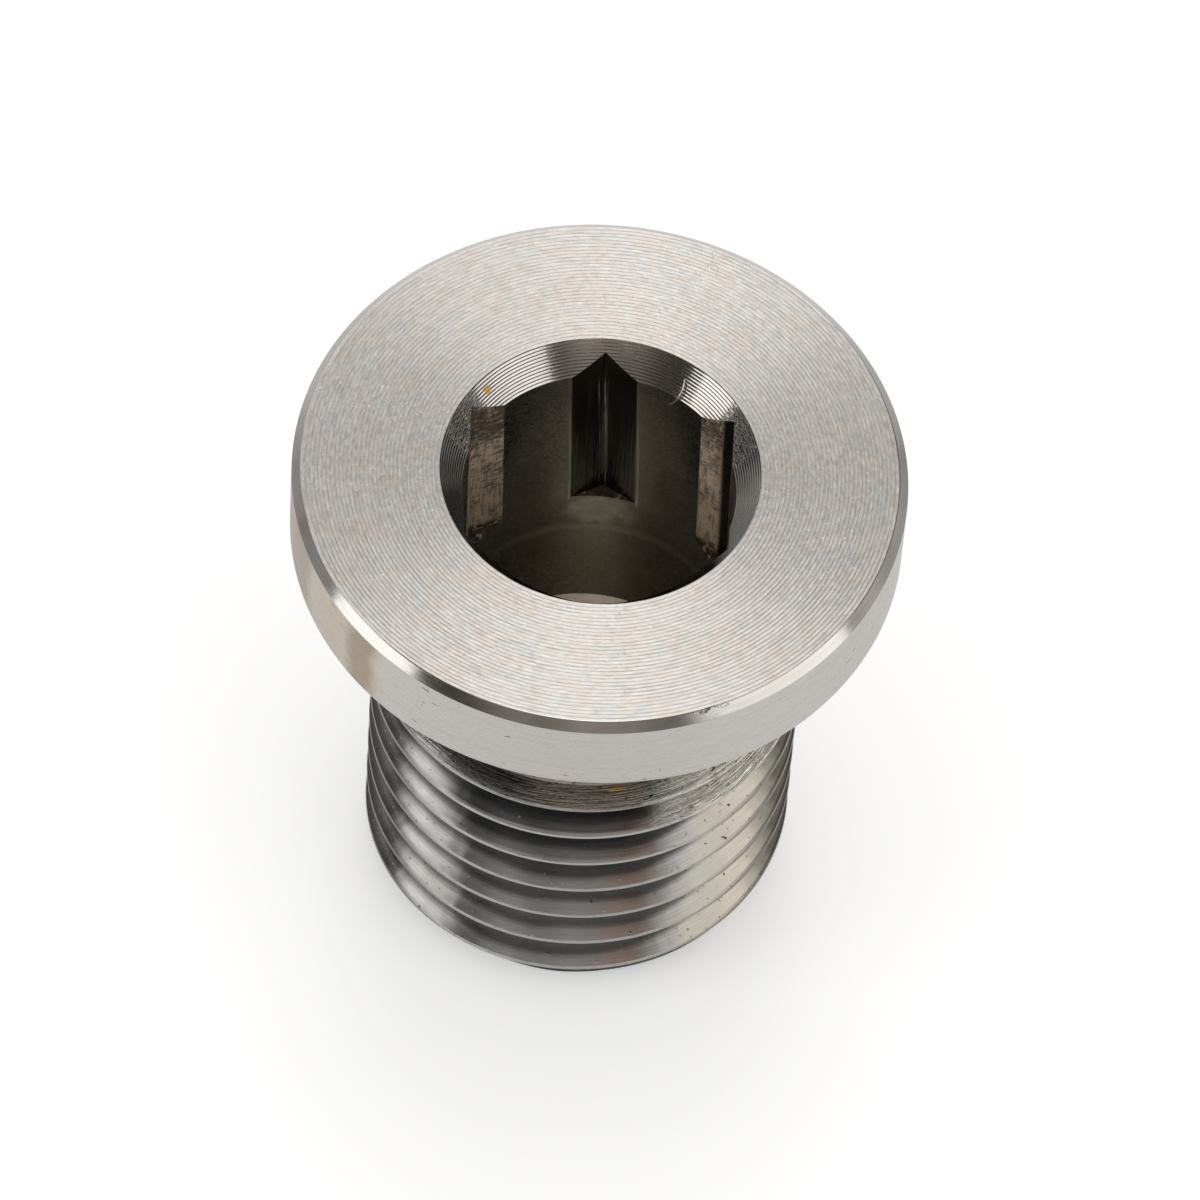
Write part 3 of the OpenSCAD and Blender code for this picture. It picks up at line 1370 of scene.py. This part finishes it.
@dataclass(frozen=True)
class BroachedCorner(MachinedSteel):
    """A broached corner: scored along the stroke, torn across it, with dark chips packed at its end; painted
    shadow lies beside the right corner's edge, and painted shade dulls the left corners.

    Attributes:
        clean: Distance from the middle plane below which a corner is scraped clean, in millimetres.
        torn: Distance from the middle plane above which it is torn, in millimetres.
        end_z: Height of the corner's lower end in millimetres.
        drift: How far the twist moves the back corner sideways over its depth, in millimetres.
        right: Place of the right corner's edge at the top, in millimetres.
        right_drift: How far the twist moves that edge over its depth, in millimetres.
        shadow: Width of the painted shadow strip beside the right corner's edge, in millimetres.
        rubs: Lines rubbed down the back corner, each with its place, its width and its strength.
        left_to_right: Where the left corners end and the right ones begin, in millimetres.
    """

    clean: float = 1.5
    torn: float = 3.4
    end_z: float = 14.0
    drift: float = 0.317
    right: Point = (4.763, 2.75)
    right_drift: Point = (0.15, -0.279)
    shadow: float = 0.44
    torn_colour: Colour = (1.0, 0.83, 0.62)
    dull: Colour = (0.42, 0.34, 0.25)
    ruddy: Colour = (0.75, 0.5, 0.36)
    crack_and_shadow: Colour = (0.03, 0.026, 0.022)
    rust: Colour = (0.09, 0.055, 0.03)
    rubbed: Colour = (0.56, 0.52, 0.46)
    rubs: tuple[Place, ...] = ((0.02, 0.045, 0.9), (-0.2, 0.04, 0.5), (-0.52, 0.06, 0.18), (0.62, 0.05, 0.12))
    left_to_right: Point = (-3.0, 3.0)

    def wear(self, recipe: Recipe, layers: Layers) -> None:
        """Tears the side corners, scrapes the back one, packs chips at their ends, and paints shade on the
        left corners and a shadow strip beside the right one's edge.

        Args:
            recipe: The material's node tree.
            layers: What the finish gives the shader.
        """
        top = SIZES.total_h
        aside = recipe.ramp(recipe.apart(recipe.x), self.clean, self.torn)
        self.scrape(recipe, layers, recipe.without(aside))
        limit = recipe.ramp(recipe.x, *self.left_to_right, top - 3.3, top - 2.7)
        high = recipe.ramp(recipe.minus(recipe.z, limit), -0.4, 0.8)
        # Painted shade: the left corners duller than the right; both are also duller towards the top.
        dull = recipe.plus(
            recipe.ramp(recipe.x, *self.left_to_right, 0.3, 0.0),
            recipe.ramp(recipe.z, top - 4.0, top - 2.2, 0.0, 0.4),
        )
        hue = recipe.ramp(recipe.grain((5.0, 5.0, 2.0)), 0.5, 0.65, 0.0, 0.4)
        torn = recipe.blend(hue, recipe.blend(dull, self.torn_colour, self.dull), self.ruddy)
        layers.paint(aside, torn)
        layers.matt(aside, 0.25)
        dark = recipe.times(self.cracks(recipe, high), aside)
        layers.raised(dark, 0.03)
        # The cracks' colour also paints the shadow strip beside the right corner's edge.
        dark = recipe.most(dark, recipe.times(self.shadow_strip(recipe), aside))
        layers.paint(dark, self.crack_and_shadow)
        layers.metallic = recipe.most(layers.metallic, dark)
        packed = recipe.fall(recipe.z, self.end_z + 0.1, self.end_z + 0.6)
        clods = recipe.noise(recipe.place, scale=4.5, detail=3)
        layers.paint(recipe.times(packed, recipe.ramp(clods, 0.35, 0.6)), self.rust)

    def cracks(self, recipe: Recipe, high: Socket) -> Socket:
        """Draws cracks across the stroke, scores along it and pits.

        Args:
            recipe: The material's node tree.
            high: 1 near the top, where all of them are denser.

        Returns:
            How dark each place is with them.
        """
        mottle = recipe.ramp(recipe.noise(recipe.place, scale=1.4), 0.35, 0.65, -0.12, -0.05)
        mottle = recipe.plus(mottle, recipe.times(high, 0.12))
        left = recipe.ramp(recipe.x, *self.left_to_right, 0.05, 0.0)
        left = recipe.times(left, recipe.ramp(recipe.z, 16.2, 17.2))
        across = recipe.grain((2.6, 2.6, 9.0), detail=3, rough=0.7)
        along = recipe.grain((10.0, 10.0, 1.0), rough=0.6)
        pits = recipe.grain((9.0, 9.0, 6.0), rough=0.6)
        return recipe.most(
            recipe.ramp(recipe.plus(across, left, mottle), 0.47, 0.56, 0.0, 0.7),
            recipe.ramp(recipe.plus(along, mottle), 0.36, 0.6, 0.0, 0.5),
            recipe.ramp(recipe.plus(pits, mottle), 0.57, 0.65, 0.0, 0.85),
        )

    def shadow_strip(self, recipe: Recipe) -> Socket:
        """Finds the painted shadow strip beside the right corner's edge, which leans with the broach's twist.

        Args:
            recipe: The material's node tree.

        Returns:
            1 in the strip.
        """
        turned_by = recipe.fall(recipe.z, SIZES.total_h - SIZES.hex_depth, SIZES.total_h)
        offset = [
            recipe.minus(place, recipe.plus(recipe.times(turned_by, moved), start))
            for place, start, moved in zip((recipe.x, recipe.y), self.right, self.right_drift)
        ]
        gap = recipe.away(recipe.joined(*offset, 0.0), (0, 0, 0))
        return recipe.fall(gap, self.shadow - 0.14, self.shadow + 0.1)

    def scrape(self, recipe: Recipe, layers: Layers, amount: Socket) -> None:
        """Rubs light lines down the back corner.

        Args:
            recipe: The material's node tree.
            layers: What the finish gives the shader.
            amount: 1 in the back corner.
        """
        top = SIZES.total_h
        moved = recipe.ramp(recipe.z, top - SIZES.hex_depth, top, self.drift, 0.0)
        across = recipe.minus(recipe.x, moved)
        lines = [
            recipe.times(recipe.beside(across, place, width), level) for place, width, level in self.rubs
        ]
        lines = recipe.times(
            recipe.most(*lines),
            recipe.ramp(recipe.grain((3.0, 3.0, 0.5)), 0.3, 0.6, 0.4, 1.0),
            recipe.ramp(recipe.z, top - 2.6, top - 1.4, 1.0, 0.1),
            amount,
        )
        layers.paint(lines, self.rubbed)
        layers.metallic = recipe.ramp(recipe.most(lines, recipe.without(amount)), 0, 1, 1.0, 0.25)


@dataclass(frozen=True)
class DrilledBore(MachinedSteel):
    """The drilled wall: darkened low down and at its sides with painted shade, and lighter beside and below
    the back corner.

    Attributes:
        deep_shade_z: Height below which the wall is darkened with painted shade, in millimetres.
        patch: Centre of the light patch in millimetres.
        corner_half: Half the width of the broached corner where it meets the wall, in millimetres.
        drift: How far the twist moves the corner sideways over its depth, in millimetres.
        ring_depth: Depth of a faint ring in millimetres.
        ring_width: Half its width.
        side_shade_x: Where the painted shade beside the middle begins and is whole.
        edge_width: Half the width of the light line along the corner's edge.
        glow_width: Half the width of the faint light beside that.
    """

    deep_shade_z: float = 14.5
    patch: Place = (0.1, 4.9, 13.1)
    corner_half: float = 1.25
    drift: float = 0.286
    ring_depth: float = 10.8
    ring_width: float = 0.35
    side_shade_x: Point = (0.5, 2.6)
    edge_width: float = 0.06
    glow_width: float = 0.9
    painted_shade: Colour = (0.215, 0.205, 0.182)
    side_shade: Colour = (0.1, 0.092, 0.075)
    rubbed: Colour = (0.8, 0.75, 0.66)

    def wear(self, recipe: Recipe, layers: Layers) -> None:
        """Darkens the lower wall and its sides with painted shade, and lightens it round the back corner.

        Args:
            recipe: The material's node tree.
            layers: What the finish gives the shader.
        """
        top = SIZES.total_h
        shoulder = top - SIZES.hex_depth
        # Painted shade low in the bore.
        layers.paint(recipe.fall(recipe.z, self.deep_shade_z - 2.5, self.deep_shade_z), self.painted_shade)
        # Painted shade at the bore's sides, stronger lower down.
        sides = recipe.ramp(recipe.apart(recipe.x), *self.side_shade_x, 0.0, 0.6)
        sides = recipe.times(sides, recipe.ramp(recipe.z, self.deep_shade_z + 5.0, self.deep_shade_z + 0.5, 0.3, 1.0))
        layers.paint(sides, self.side_shade)
        cloud = recipe.ramp(recipe.noise(recipe.place, scale=1.6, detail=3), 0.3, 0.7, -0.2, 0.2)
        spread = recipe.plus(recipe.away(recipe.place, self.patch, (0.75, 0.5, 1.0)), cloud)
        moved = recipe.ramp(recipe.z, shoulder, top, self.drift, 0.0)
        across = recipe.apart(recipe.minus(recipe.x, moved))
        edge = recipe.times(recipe.beside(across, self.corner_half, self.edge_width), 0.7)
        glow = recipe.times(recipe.beside(across, self.corner_half, self.glow_width), 0.1)
        edge = recipe.times(
            recipe.most(edge, glow),
            recipe.ramp(recipe.z, shoulder + 2.0, top - 2.0, 1.0, 0.25),
            recipe.ramp(recipe.z, shoulder - 0.4, shoulder),
            recipe.ramp(recipe.y, 3.0, 4.0),
        )
        ring = recipe.times(recipe.beside(recipe.z, top - self.ring_depth, self.ring_width), 0.12)
        patch = recipe.most(recipe.ramp(spread, 0.1, 1.15, 0.95, 0.0), edge, ring)
        layers.paint(patch, self.rubbed)
        layers.matt(patch, 0.25)
        layers.metallic = recipe.ramp(patch, 0, 1, 1.0, 0.4)


@dataclass(frozen=True)
class PackedChips(MachinedSteel):
    """Dark, rusty chips packed at the end of each broached corner."""

    rust: Colour = (0.12, 0.065, 0.03)
    flake: Colour = (0.42, 0.35, 0.23)

    def wear(self, recipe: Recipe, layers: Layers) -> None:
        """Breaks the surface up into clods.

        Args:
            recipe: The material's node tree.
            layers: What the finish gives the shader.
        """
        clods = recipe.noise(recipe.place, scale=6.0, detail=3)
        layers.paint(recipe.ramp(clods, 0.45, 0.65), self.rust)
        layers.paint(recipe.ramp(recipe.noise(recipe.place, scale=2.6), 0.57, 0.63), self.flake)
        layers.raised(clods, 0.15)
        layers.metallic = 0.0


FINISHES = {
    Zone.FACE: FacedTop(
        "faced_top", colour=(0.70, 0.675, 0.65), tint=(0.715, 0.68, 0.64), roughness=0.36,
        marks=Marks.FACED, anisotropy=0.7, mark_width=0.02, mark_depth=0.0004, dashes=26, dash_width=0.08,
        dash_depth=0.0003,
    ),
    Zone.CHAMFER: TurnedChamfer(
        "turned_chamfer", roughness=0.16, anisotropy=0.4, mark_width=0.03, mark_depth=0.0005,
        dash_depth=0.0004, mark_tone=0.15,
    ),
    Zone.RIM: TurnedRim(
        "turned_rim", colour=(0.675, 0.66, 0.635), tint=(0.685, 0.65, 0.615), roughness=0.28, anisotropy=0.7,
        mark_width=0.1, mark_depth=0.0007, dash_width=0.05, dash_depth=0.0002, mark_tone=0.1,
    ),
    Zone.RELIEF: MachinedSteel("turned_relief", colour=(0.36, 0.345, 0.32), roughness=0.3, mark_depth=0.003),
    Zone.THREAD: CutThread(
        "cut_thread", colour=(0.62, 0.62, 0.605), tint=(0.57, 0.56, 0.535), roughness=0.17, anisotropy=0.5,
        marks=Marks.FACED, mark_width=0.05, mark_depth=0.0015, dash_depth=0.0012, mark_tone=0.3,
    ),
    Zone.MOUTH: CountersunkMouth(
        "countersunk_mouth", roughness=0.13, anisotropy=0.3, mark_width=0.03, mark_depth=0.0004, dashes=20,
        dash_width=0.05, dash_depth=0.0006,
    ),
    Zone.BORE: DrilledBore(
        "drilled_bore", colour=(0.36, 0.355, 0.335), tint=(0.33, 0.32, 0.3), roughness=0.3, mark_width=0.15,
        mark_depth=0.0003, dashes=40, dash_width=0.05, dash_depth=0.0, mark_tone=0.1,
    ),
    Zone.BROACHED: BroachedCorner(
        "broached_corner", colour=(0.24, 0.235, 0.22), tint=(0.2, 0.195, 0.18), roughness=0.22,
        anisotropy=0.3, marks=Marks.BROACHED, mark_width=0.08, mark_depth=0.01, dashes=5, dash_width=0.05,
        dash_depth=0.0002,
    ),
    Zone.CHIPS: PackedChips(
        "packed_chips", colour=(0.05, 0.035, 0.025), tint=(0.03, 0.02, 0.015), roughness=0.5
    ),
    Zone.DRILL_POINT: MachinedSteel(
        "drill_point", colour=(1.0, 0.91, 0.75), tint=(1.0, 0.88, 0.7), roughness=0.5
    ),
    Zone.END: MachinedSteel("faced_end", roughness=0.25, marks=Marks.FACED, mark_depth=0.002),
    Zone.BURR: MachinedSteel(
        "curled_burr", colour=(0.9, 0.88, 0.83), tint=(0.85, 0.82, 0.76), roughness=0.35
    ),
}


def placed(name: str, bm: bmesh.types.BMesh) -> bpy.types.Object:
    """Makes an object at the origin from a bmesh, and frees that.

    Args:
        name: The object's name.
        bm: Its mesh.

    Returns:
        The object.
    """
    mesh = bpy.data.meshes.new(name)
    bm.to_mesh(mesh)
    bm.free()
    piece = bpy.data.objects.new(name, mesh)
    bpy.context.scene.collection.objects.link(piece)
    return piece


def finish_skin(bm: bmesh.types.BMesh, name: str) -> bpy.types.Object:
    """Joins the skin's zones, smooths it between its creases and turns it to metres.

    Args:
        bm: The skin in millimetres.
        name: The piece's name.

    Returns:
        The finished piece.
    """
    bmesh.ops.remove_doubles(bm, verts=bm.verts, dist=SKIN_MERGE_MM)
    loops = [e for e in bm.edges if e.is_boundary]
    for face in bmesh.ops.bridge_loops(bm, edges=loops)["faces"]:
        face.material_index = Zone.RELIEF.value
    bmesh.ops.dissolve_degenerate(bm, edges=bm.edges, dist=TINY_MM)
    bmesh.ops.recalc_face_normals(bm, faces=bm.faces)
    fine = {zone.value for zone in (Zone.FACE, Zone.MOUTH, Zone.BORE, Zone.BROACHED, Zone.CHIPS)}
    for edge in bm.edges:
        is_fine = all(face.material_index in fine for face in edge.link_faces)
        crease = FINE_CREASE_ANGLE if is_fine else CREASE_ANGLE
        edge.smooth = not (edge.is_manifold and edge.calc_face_angle(0) > crease)
    for face in bm.faces:
        face.smooth = True
    bmesh.ops.scale(bm, verts=bm.verts, vec=(MM, MM, MM))
    open_edges = sum(not e.is_manifold for e in bm.edges)
    triangles = sum(len(face.verts) - 2 for face in bm.faces)
    LOG.info("%s: %d triangles, %d open edges", name, triangles, open_edges)
    return placed(name, bm)


def way_to(azimuth: float, elevation: float) -> Vector:
    """The way from the plug in a direction given in degrees."""
    a, e = math.radians(azimuth), math.radians(elevation)
    return Vector((math.cos(a) * math.cos(e), math.sin(a) * math.cos(e), math.sin(e)))


@dataclass(frozen=True)
class SoftBox:
    """A soft box.

    Attributes:
        name: The lamp's name.
        azimuth: Its direction from the plug, round the axis in degrees.
        elevation: Its direction above the floor in degrees.
        width: Its width in metres.
        height: Its height in metres.
        radiance: How bright its surface is.
        lean: How far it leans about the line to the plug, in degrees.
        distance: How far away it is in metres.
    """

    name: str
    azimuth: float
    elevation: float
    width: float
    height: float
    radiance: float
    lean: float = 0.0
    distance: float = 0.6


SOFT_BOXES = (
    SoftBox("left_box", -162.3, 20, 0.285, 0.44, 1.56, lean=-6),
    SoftBox("right_box", -30, 22, 0.52, 0.30, 1.22),
    SoftBox("far_box", 90, 37, 0.33, 0.2, 1.25),
    SoftBox("top_box", 90, 57, 0.18, 0.22, 1.25),
    SoftBox("near_box", 90, 77, 0.33, 0.22, 1.25),
)


@dataclass(frozen=True)
class Glow:
    """A soft patch of light on the studio's walls.

    Attributes:
        azimuth: Its direction from the plug, round the axis in degrees.
        elevation: Its direction above the floor in degrees.
        spread: Angle from its middle to its edge in degrees.
        level: How bright its middle is.
        colour: Its colour.
    """

    azimuth: float
    elevation: float
    spread: float
    level: float
    colour: Colour = (1.0, 0.98, 0.96)

    @property
    def light(self) -> Colour:
        """Its colour times its level."""
        return tuple(self.level * part for part in self.colour)


GLOWS = (
    Glow(-12, 53.5, 25, 1.05),
    Glow(-178, 47.5, 14.5, 1.13),
    Glow(90, -5, 60, 0.75),
    Glow(12, 8, 38, 0.4),
    Glow(140, -5, 38, 0.33),
    Glow(-88, 31, 42, 0.2, (1.0, 0.88, 0.8)),
    Glow(-115, 65, 26, 0.22),
    Glow(-65, 63, 8.5, 0.27, (1.0, 0.52, 0.38)),
    Glow(150, 34, 16, 0.12),
    Glow(176, 13, 15, 0.2),
    Glow(-92, 88, 14, 2.4),
)


@dataclass
class Studio:
    """The floor, the lamps and the camera.

    Attributes:
        frame_px: Side of the photograph's frame in its own pixels.
        focal_px: Focal length in these pixels.
        elevation: How steeply the camera looks down.
        roll: How far the camera leans about its own view.
        turn: How far the camera stands round the plug's axis.
        distance: Distance from the middle of the head's top, in millimetres.
        aim: Where the camera stands beside and above that line, in millimetres.
        clip: Range of distances that the camera sees, in metres.
        floor_size: Side of the floor in metres.
        floor_colour: Colour of the floor.
        floor_roughness: How matt the floor is.
        floor_lift: Light that the floor adds where the camera sees it.
        hood_r: Radius of the studio's walls in metres.
        hood_colour: Colour of the dim walls.
        hood_level: How bright they are.
        world_level: How bright the surround is as a light.
    """

    frame_px: int = 1200
    focal_px: float = 10306.87
    elevation: float = math.radians(56.165)
    roll: float = math.radians(-4.368)
    turn: float = math.radians(-1.61)
    distance: float = 33.3563 * SIZES.head_r
    aim: Point = (-0.00189 * SIZES.head_r, -0.42038 * SIZES.head_r)
    clip: Point = (0.01, 10.0)
    floor_size: float = 0.3
    floor_colour: Colour = (0.85, 0.845, 0.835)
    floor_roughness: float = 0.9
    floor_lift: float = 0.32
    hood_r: float = 1.2
    hood_colour: Colour = (1.0, 0.96, 0.92)
    hood_level: float = 0.07
    world_level: float = 0.7

    def camera(self) -> None:
        """Sets the camera where the photograph's ellipses put it."""
        data = bpy.data.cameras.new("camera")
        data.sensor_width = 36
        data.lens = self.focal_px * data.sensor_width / self.frame_px
        data.clip_start, data.clip_end = self.clip
        back = Vector((0, -math.cos(self.elevation), math.sin(self.elevation)))
        right = Vector((1, 0, 0))
        basis = Matrix((right, back.cross(right), back))
        basis = Matrix.Rotation(self.roll, 3, "Z") @ basis
        basis = basis @ Matrix.Rotation(-self.turn, 3, "Z")
        place = Vector((*self.aim, self.distance)) @ basis
        place.z += SIZES.total_h
        camera = bpy.data.objects.new("camera", data)
        camera.matrix_world = Matrix.Translation(place * MM) @ basis.transposed().to_4x4()
        bpy.context.scene.collection.objects.link(camera)
        bpy.context.scene.camera = camera

    def floor(self) -> None:
        """Lays the white floor, which keeps the plug's shadow."""
        bm = bmesh.new()
        bmesh.ops.create_grid(bm, x_segments=1, y_segments=1, size=self.floor_size / 2)
        floor = placed("floor", bm)
        made = bpy.data.materials.new("white_floor")
        made.use_nodes = True
        nodes, links = made.node_tree.nodes, made.node_tree.links
        shader = nodes["Principled BSDF"]
        shader.inputs["Base Color"].default_value = (*self.floor_colour, 1)
        shader.inputs["Roughness"].default_value = self.floor_roughness
        shader.inputs["Specular IOR Level"].default_value = 0.0
        shader.inputs["Emission Color"].default_value = (1, 1, 1, 1)
        path = nodes.new("ShaderNodeLightPath")
        lift = nodes.new("ShaderNodeMath")
        lift.operation = "MULTIPLY"
        lift.inputs[1].default_value = self.floor_lift
        links.new(path.outputs["Is Camera Ray"], lift.inputs[0])
        links.new(lift.outputs[0], shader.inputs["Emission Strength"])
        floor.data.materials.append(made)

    def hood(self) -> None:
        """Hangs the studio's dim walls and ceiling, which only show in the metal."""
        bm = bmesh.new()
        bmesh.ops.create_uvsphere(bm, u_segments=64, v_segments=32, radius=self.hood_r)
        hood = placed("hood", bm)
        hood.visible_camera = False
        hood.visible_diffuse = False
        hood.visible_shadow = False
        recipe = Recipe("dim_studio")
        recipe.material.cycles.emission_sampling = "NONE"
        way = recipe.vector("NORMALIZE", recipe.place)
        level = tuple(self.hood_level * part for part in self.hood_colour)
        for glow in GLOWS:
            aside = recipe.along(way, tuple(way_to(glow.azimuth, glow.elevation)))
            near = recipe.ramp(aside, math.cos(math.radians(glow.spread)), 1.0)
            patch = recipe.vector("MULTIPLY", recipe.joined(near, near, near), glow.light)
            level = recipe.vector("ADD", level, patch)
        light = recipe.node("ShaderNodeEmission")
        recipe.link(level, light.inputs["Color"])
        drift = recipe.noise(way, scale=4.0)
        recipe.link(recipe.ramp(drift, 0.3, 0.7, 0.7, 1.3), light.inputs["Strength"])
        ends = recipe.tree.nodes["Material Output"]
        recipe.link(light.outputs[0], ends.inputs["Surface"])
        recipe.tree.nodes.remove(recipe.shader)
        hood.data.materials.append(recipe.material)

    def lamp(self, box: SoftBox) -> None:
        """Hangs one soft box, which faces the plug.

        Args:
            box: The soft box.
        """
        data = bpy.data.lights.new(box.name, "AREA")
        data.shape = "RECTANGLE"
        data.size, data.size_y = box.width, box.height
        data.energy = box.radiance * math.pi * box.width * box.height
        lamp = bpy.data.objects.new(box.name, data)
        way = way_to(box.azimuth, box.elevation)
        turn = facing(way) @ Matrix.Rotation(math.radians(box.lean), 4, "Z")
        lamp.matrix_world = Matrix.Translation(way * box.distance) @ turn
        bpy.context.scene.collection.objects.link(lamp)

    def world(self) -> None:
        """Sets a plain white surround, which fills the background."""
        world = bpy.data.worlds.new("surround")
        world.use_nodes = True
        nodes, links = world.node_tree.nodes, world.node_tree.links
        background = nodes["Background"]
        background.inputs["Color"].default_value = (1, 1, 1, 1)
        path = nodes.new("ShaderNodeLightPath")
        seen = nodes.new("ShaderNodeMath")
        seen.operation = "MAXIMUM"
        links.new(path.outputs["Is Camera Ray"], seen.inputs[0])
        links.new(path.outputs["Is Glossy Ray"], seen.inputs[1])
        level = nodes.new("ShaderNodeMapRange")
        links.new(seen.outputs[0], level.inputs["Value"])
        level.inputs["To Min"].default_value = self.world_level
        level.inputs["To Max"].default_value = 1.0
        links.new(level.outputs[0], background.inputs["Strength"])
        bpy.context.scene.world = world
        bpy.context.scene.view_settings.view_transform = "Standard"

    def build(self) -> None:
        """Builds the whole studio."""
        self.floor()
        self.hood()
        for box in SOFT_BOXES:
            self.lamp(box)
        self.world()
        self.camera()


def main() -> None:
    """Builds the plug and the studio."""
    logging.basicConfig(level=logging.INFO, format="%(name)s: %(message)s")
    skin = bmesh.new()
    Head().build(skin)
    ThreadedShank().build(skin)
    KeySocket().build(skin)
    CurledBurr().build(skin)
    plug = finish_skin(skin, "plug_skin")
    for zone in Zone:
        plug.data.materials.append(FINISHES[zone].material())
    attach(plug, "root")
    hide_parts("plug")
    Studio().build()


if __name__ == "__main__":
    main()
